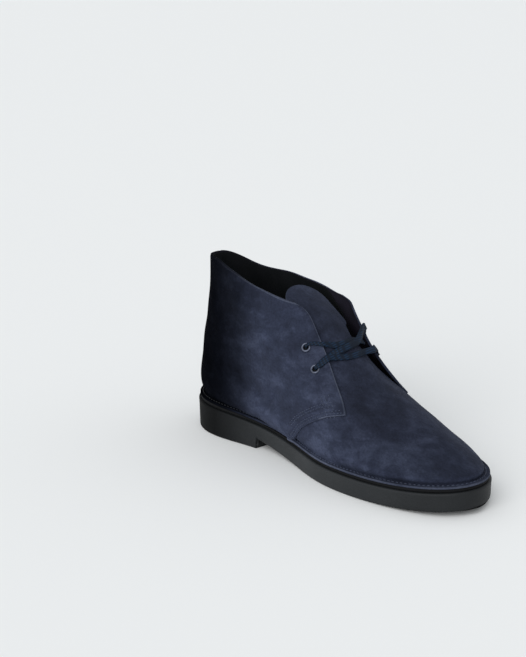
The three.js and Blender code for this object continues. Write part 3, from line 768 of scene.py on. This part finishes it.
# ---------------------------------------------------------------- stitches
def step_in(side, s, v, distance):
    """Moves a line of places sideways over the quarter, away from its front edge."""
    turn = -1 if side == "medial" else 1
    for _ in range(4):
        ahead = unit(np.gradient(last_surface(s, v), axis=0))
        aside = turn * np.cross(ahead, outwards(last_surface, s, v))
        along_s = (last_surface(s + 0.002, v) - last_surface(s - 0.002, v)) / 0.004
        along_v = (last_surface(s, v + 0.02) - last_surface(s, v - 0.02)) / 0.04
        ss, sv, vv = ((a * b).sum(-1) for a, b in
                      ((along_s, along_s), (along_s, along_v), (along_v, along_v)))
        rs, rv = (along_s * aside).sum(-1), (along_v * aside).sum(-1)
        fall = ss * vv - sv * sv
        s = s + distance / 4 * (rs * vv - rv * sv) / fall
        v = v + distance / 4 * (rv * ss - rs * sv) / fall
    return s, v


# Rings of one stitch: place along it, thickness, and lift in mm.
STITCH = ((-0.5, 0.45, -0.16), (-0.3, 0.9, 0.12), (0, 1.0, 0.2), (0.3, 0.9, 0.12), (0.5, 0.45, -0.16))
SPOKES = 6


def stitch_row(points, outs, pitch=2.7, length=1.9, radius=0.34):
    """Beads of thread along a line, one a stitch, each dipping in at its two ends."""
    gaps = np.linalg.norm(np.diff(points, axis=0), axis=1)
    run = np.concatenate([[0], np.cumsum(gaps)])
    count = max(int(run[-1] / pitch), 1)
    centres = (np.arange(count) + 0.5) * run[-1] / count
    spin = np.linspace(0, 2 * np.pi, SPOKES, endpoint=False)

    def at(place, grid):
        return np.array([np.interp(place, run, grid[:, k]) for k in range(3)])

    beads = []
    for centre in centres:
        here, out = at(centre, points), at(centre, outs)
        heading = unit(at(centre + 0.4, points) - at(centre - 0.4, points))
        out = unit(out - heading * (out @ heading))
        aside = np.cross(heading, out)
        rings = []
        for share, fat, lift in STITCH:
            middle = here + heading * length * share + out * lift
            rings.append(middle + radius * fat * (np.cos(spin)[:, None] * aside
                                                  + np.sin(spin)[:, None] * out))
        beads.append(np.concatenate(rings))
    return beads


def sewn(name, beads):
    """One piece made of all the stitches in beads, each with its ends filled."""
    each = len(STITCH) * SPOKES
    faces = []
    for start in range(0, each * len(beads), each):
        faces += grid_faces(len(STITCH), SPOKES, start, closed=True)
        faces += [tuple(range(start, start + SPOKES))[::-1],
                  tuple(range(start + each - SPOKES, start + each))]
    made = piece(name, np.concatenate(beads), faces, [thread])
    return made


def on_quarter(side, s, v):
    """Points on the quarter's outside, and the way out of it."""
    outs = outwards(last_surface, s, v)
    height = quarter_height(s, v, side)
    return last_surface(s, v) + outs * height[:, None], outs


def quarter_stitches(side):
    """Two pairs of rows along the curved seam, and a short double row up from its front
    corner that closes them into a box; two rows beside the back seam."""
    beads = []
    seam_v = np.linspace(0.55, SEAM_TOP - 0.02, 160)
    for distance, _, first, last in SEAM_ROWS:
        v = seam_v
        s = mirrored(edge_place(v, side), side)
        s, v = step_in(side, s, v, distance)
        keep = slice(first, len(s) - last)
        beads += stitch_row(*on_quarter(side, s[keep], v[keep]))
    corner_s = 0.339 if side == "medial" else 0.325
    for distance in (8.0, 10.8, 13.6):
        v = np.linspace(SEAM_TOP - 0.11, SEAM_TOP + 0.95, 50)
        s = mirrored(corner_s + (v - SEAM_TOP) * 0.0225, side)
        s, v = step_in(side, s, v, distance)
        beads += stitch_row(*on_quarter(side, s, v))
    v = np.linspace(0.3, 5.85, 200)
    step = 0.01
    reach = np.linalg.norm(last_surface(np.full_like(v, step), v)
                           - last_surface(np.zeros_like(v), v), axis=-1)
    s = mirrored(step * 2.6 / reach, side)
    beads += stitch_row(*on_quarter(side, s, v))
    sewn(f"stitches_{side}", beads)


FLANGE_CORNER = 0.237     # place s where the quarter's front edge meets the flange's stitches


def flange_stitches():
    """The row that sews the turned-out edge down to the midsole, all the way round."""
    s = np.linspace(0, 1, 1200)
    v = np.full_like(s, -0.5)
    height = np.full_like(s, -0.05)
    for side, part in (("medial", s < FLANGE_CORNER), ("lateral", s > 1 - FLANGE_CORNER)):
        height[part] = quarter_height(s[part], v[part], side)
    outs = np.broadcast_to([0.0, 0.0, 1.0], (len(s), 3))
    row = last_surface(s, v) + outs * height[:, None]
    sewn("stitches_flange", stitch_row(row, outs, pitch=3.4, length=2.4, radius=0.36))


# ---------------------------------------------------------------- eyelets and laces
def eyelet(name, s0, v0):
    """A rolled flange over the suede, a barrel through it, and a dark disc closing the barrel,
    painted shade in the hole.
    """
    side = name.split("_")[0]
    s, v = np.array([s0]), np.array([v0])
    out = outwards(lambda a, b: off_last(a, b, gape(a, b)), s, v)[0]
    across = unit(np.cross([0.0, 0.0, 1.0], out))
    up = np.cross(out, across)
    centre = last_surface(s, v)[0] + out * (gape(s, v)[0] + LAP)
    spin = np.linspace(0, 2 * np.pi, 40, endpoint=False)
    profile = [(3.35, -0.35), (3.65, 0.1), (3.6, 0.5), (3.3, 0.85), (2.85, 0.98), (2.4, 0.85),
               (2.12, 0.5), (2.05, 0.0), (2.0, -0.75)]
    rings = [centre + out * h + r * (np.cos(spin)[:, None] * across + np.sin(spin)[:, None] * up)
             for r, h in profile]
    count = len(spin)
    faces = grid_faces(len(profile), count, closed=True, flip=True)
    # Painted shade: the disc closing the barrel takes the dark midsole leather.
    marks = [0] * len(faces) + [1, 1]
    faces += [tuple((len(profile) - 1) * count + k for k in range(count)),
              tuple(reversed(range(count)))]
    made = piece(f"eyelet_ring_{name}", np.concatenate(rings), faces, [enamel, board], marks)
    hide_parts(f"eyelet_{name}")


LACE_HALF = 2.65          # half the flat lace's width
LACE_THICK = 1.2
# Lace routes: place s and height v on the last, how far the lace's middle lies over the
# quarter ("q") or the tongue ("t"), and how much of its full width it keeps there.
LOWER_BAR = [
    (0.339, 4.26, "q", -0.9, 0.4), (0.342, 4.30, "q", 1.75, 0.5), (0.348, 4.37, "q", 1.6, 0.75),
    (0.356, 4.47, "q", 1.0, 0.95), (0.365, 4.58, "q", 0.9, 1), (0.376, 4.69, "q", 1.0, 1),
    (0.387, 4.79, "q", 0.5, 1), (0.404, 4.89, "t", 2.9, 1), (0.43, 5.00, "t", 1.7, 1),
    (0.465, 5.08, "t", 1.2, 1), (0.50, 5.12, "t", 1.2, 1), (0.535, 5.09, "t", 1.9, 1),
    (0.565, 4.98, "t", 4.6, 1), (0.590, 4.86, "q", -0.6, 1), (0.606, 4.79, "q", 1.0, 1),
    (0.618, 4.70, "q", 1.2, 1), (0.630, 4.60, "q", 1.0, 1), (0.643, 4.47, "q", 1.0, 0.95),
    (0.652, 4.36, "q", 1.6, 0.75), (0.658, 4.29, "q", 1.75, 0.5), (0.661, 4.26, "q", -0.9, 0.4),
]
FROM_MEDIAL = [
    (0.344, 4.79, "q", -0.9, 0.35), (0.347, 4.83, "q", 1.75, 0.4), (0.356, 4.92, "q", 1.3, 0.45),
    (0.368, 5.01, "q", 1.1, 0.5), (0.382, 5.07, "q", 1.1, 0.55), (0.396, 5.12, "q", 0.7, 0.6),
    (0.412, 5.19, "t", 3.2, 0.8), (0.436, 5.26, "t", 1.6, 1), (0.465, 5.33, "t", 1.2, 1),
    (0.50, 5.37, "t", 1.0, 1), (0.535, 5.34, "t", 1.0, 1), (0.563, 5.25, "t", 1.4, 1),
    (0.583, 5.15, "t", 2.4, 1), (0.598, 5.05, "t", 3.2, 0.9),
]
FROM_LATERAL = [
    (0.656, 4.79, "q", -0.9, 0.4), (0.654, 4.81, "q", 1.75, 0.5), (0.647, 4.90, "q", 1.6, 0.7),
    (0.637, 5.01, "q", 1.1, 0.9), (0.626, 5.12, "q", 1.1, 1), (0.616, 5.22, "q", 1.4, 1),
    (0.606, 5.30, "q", 2.0, 1), (0.596, 5.34, "q", 0.4, 1), (0.582, 5.33, "t", 6.2, 1),
    (0.560, 5.30, "t", 3.6, 1), (0.53, 5.30, "t", 2.5, 1), (0.49, 5.28, "t", 2.3, 1),
    (0.455, 5.20, "t", 2.2, 1), (0.428, 5.10, "t", 1.8, 1), (0.409, 5.00, "t", 1.1, 1),
    (0.395, 4.91, "t", 0.8, 1), (0.386, 4.85, "t", 0.75, 1),
]


def lace(name, route, replaced=None):
    """One flat lace laid over its route."""
    steps = 9
    s, v, on, over, width = (np.array(column) for column in zip(*route))
    outs = outwards(last_surface, s, v)
    lift = np.where(on == "q", gape(s, v) + LAP, -0.05 - TONGUE_SINK) + over
    spots = last_surface(s, v) + outs * lift[:, None]
    dense = through(spots[:, None], steps)[:, 0]
    facing = unit(through(outs[:, None], steps)[:, 0])
    share = np.interp(np.arange(len(dense)) / steps, np.arange(len(width)), width)
    band = ribbon(dense, facing, LACE_HALF * share, LACE_THICK)
    made = piece(name, band.reshape(-1, 3), tube_faces(*band.shape[:2]), [cotton])
    if replaced:
        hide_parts(replaced)


# ---------------------------------------------------------------- sole
def breast_line(y):
    """x of the heel block's front face: slightly bowed, and further forward inside."""
    return HEEL_BREAST - 0.06 * y + 3.0 * np.cos(np.pi * np.clip(np.abs(y) / 60, 0, 1) / 2)


def sole_bottom(x, y):
    """Height of the tread: the heel is level, the waist hollow, and the toe springs up."""
    spring = TOE_SPRING * np.clip((x - 55) / 95, 0, None) ** 2
    run = x - breast_line(y)
    hollow = (ARCH * np.clip(1 - run / WAIST_END, 0, 1) ** 1.5
              + WAIST_STEP * ease(WAIST_END + 1, WAIST_END - 2, run))
    return spring + hollow * ease(-0.1, 0.7, run)


def outsole():
    """The moulded unit: a side wall with a bevelled tread edge, the tread, and the seat."""
    turn = np.linspace(0, np.pi, 150)
    x = np.unique(np.concatenate([-LENGTH / 2 * np.cos(turn), np.linspace(-66, -55, 34)]))
    columns = np.linspace(-1, 1, 41)

    def edges(x):
        t = np.clip(x / LENGTH + 0.5, 0, 1)
        return along(PLAN_SHIFT, t), bow(t) * along(PLAN_BREADTH, t)

    middle, half = edges(x)
    y = middle[:, None] + columns * half[:, None]
    near = np.exp(-((x - HEEL_BREAST) / 9) ** 2)[:, None]
    rows_x = x[:, None] + (breast_line(y) - HEEL_BREAST) * near
    middle, half = edges(rows_x)
    y = middle + columns * half
    ring = [(i, 0) for i in range(len(x))] + [(i, -1) for i in range(len(x) - 2, 0, -1)]
    rim = np.array([(rows_x[i, j], y[i, j]) for i, j in ring])
    ahead = unit(np.roll(rim, -1, 0) - np.roll(rim, 1, 0))
    inward = np.stack([-ahead[:, 1], ahead[:, 0]], -1)
    foot = sole_bottom(rim[:, 0], rim[:, 1])
    head = sole_top(rim[:, 0])
    # Side wall from the tread edge up: inset, share of the height, and rise in mm.
    wall = [(1.9, 0, 0.0), (1.1, 0, 0.25), (0.65, 0, 0.8), (0.45, 0, 1.8), (0.35, 0.35, 0),
            (0.25, 0.6, 0), (0.12, 1, -2.6), (0.0, 1, -1.9), (0.0, 1, -0.7), (0.25, 1, -0.2),
            (0.9, 1, 0.0), (3.0, 1, 0.0)]
    rings = [np.column_stack([rim + inward * inset, foot + (head - foot) * share + rise])
             for inset, share, rise in wall]
    count = len(rim)
    points = np.concatenate(rings)
    faces = grid_faces(len(rings), count, closed=True)
    # Tread: the rows across, joined to the wall's lowest ring.
    inset = 1 - 1.9 / np.maximum(half, 3.0)
    tread_x, tread_y = rows_x[1:-1], (middle + columns * half * inset)[1:-1]
    tread = np.stack([tread_x, tread_y, sole_bottom(tread_x, tread_y)], -1)[:, 1:-1]
    start = len(points)
    rows, width = tread.shape[:2]
    points = np.concatenate([points, tread.reshape(-1, 3)])
    faces += grid_faces(rows, width, start)
    last = len(x) - 1
    for i in range(rows - 1):
        left = (i + 1, i + 2, start + (i + 1) * width, start + i * width)
        right = (count - i - 1, start + (i + 1) * width - 1, start + (i + 2) * width - 1,
                 count - i - 2)
        faces += [left, right]
    faces.append(tuple([0, 1] + [start + j for j in range(width)] + [count - 1]))
    end = start + (rows - 1) * width
    faces.append(tuple([last - 1, last, last + 1] + [end + j for j in reversed(range(width))]))
    # Seat: closed under the midsole.
    top = (len(rings) - 1) * count
    for i in range(1, last):
        quad = [top + i, top + i + 1, top + (count - i - 1) % count, top + (count - i) % count]
        faces.append(tuple(dict.fromkeys(quad)))
    faces.append((top, top + 1, top + count - 1))
    return piece("outsole_unit", points, faces, [rubber])


def layer(name, inset, low, high, material):
    """A flat layer of the stack, following the sole's plan, with softened edges. The
    inset from the plan is a number, or a function of the share of the length."""
    s = np.linspace(0, 1, 360, endpoint=False)
    t, _ = around(s)
    depth = np.asarray(inset(t) if callable(inset) else np.full_like(t, inset))
    rings = []
    for extra, rise in ((0.35, low), (0, low + 0.3), (0, high - 0.3), (0.35, high), (4.0, high)):
        p = plan(s, depth + extra)
        rings.append(np.column_stack([p, sole_top(p[:, 0]) + rise]))
    count = len(s)
    faces = grid_faces(len(rings), count, closed=True)
    for start, flip in ((0, False), ((len(rings) - 1) * count, True)):
        for i in range(count // 2):
            quad = [start + i, start + i + 1, start + (count - i - 1) % count,
                    start + (count - i) % count]
            quad = list(dict.fromkeys(quad))
            if len(quad) > 2:
                faces.append(tuple(quad if flip else quad[::-1]))
    return piece(name, np.concatenate(rings), faces, [material])


outsole_piece = outsole()
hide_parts("outsole")
midsole_piece = layer("midsole_layer", 1.7, GAP * 0.2, GAP + MIDSOLE + 0.2, board)
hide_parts("midsole")
insole_piece = layer("insole_sock", lambda t: along(FEATHER_INSET, t) + 2.9, STACK, STACK + 2.6,
                     insock)
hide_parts("insole")
quarter_medial, lining_medial = quarter("medial")
quarter_lateral, lining_lateral = quarter("lateral")
vamp_piece = vamp()
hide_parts("upper")
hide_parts("tongue")

for side in ("medial", "lateral"):
    quarter_stitches(side)
flange_stitches()
for name, (s0, v0) in EYELETS.items():
    eyelet(name, s0, v0)
lace("lace_bar", LOWER_BAR, "lace_bar_lower")
lace("lace_from_medial", FROM_MEDIAL, "lace_cross_upper")
lace("lace_from_lateral", FROM_LATERAL)
